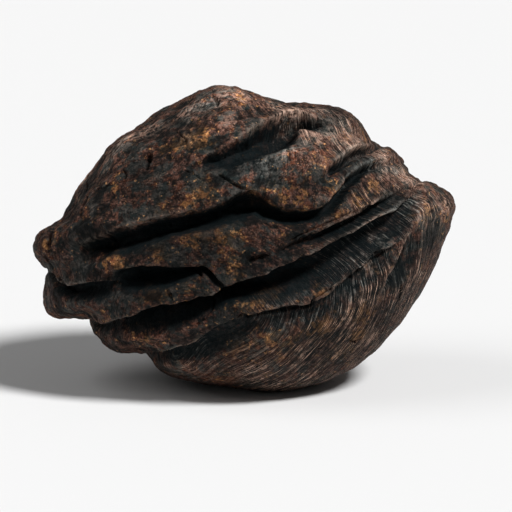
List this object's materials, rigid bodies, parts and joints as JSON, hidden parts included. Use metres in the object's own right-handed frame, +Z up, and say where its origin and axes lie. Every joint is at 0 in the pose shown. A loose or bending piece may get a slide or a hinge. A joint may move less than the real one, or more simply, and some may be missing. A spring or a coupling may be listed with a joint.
{
  "type": "meteorite",
  "caption": "Dark stony meteorite with a rusty, flow-lined crust folded into long ledges and grooves, resting on a flat worn on its belly.",
  "frame": {"origin": "bottom centre of the bounding box, on the plane that the stone rests on", "axes": "+Z up, +X along the stone's length, the carved face with the long grooves looks along -Y and leans back by 12 degrees"},
  "size_m": [0.211, 0.14, 0.1509],
  "materials": {
    "fusion_crust": "matte, rusty brown on the ridges and near black in the grooves"
  },
  "bodies": {
    "root": {"meteorite": "fusion_crust"}
  },
  "joints": []
}
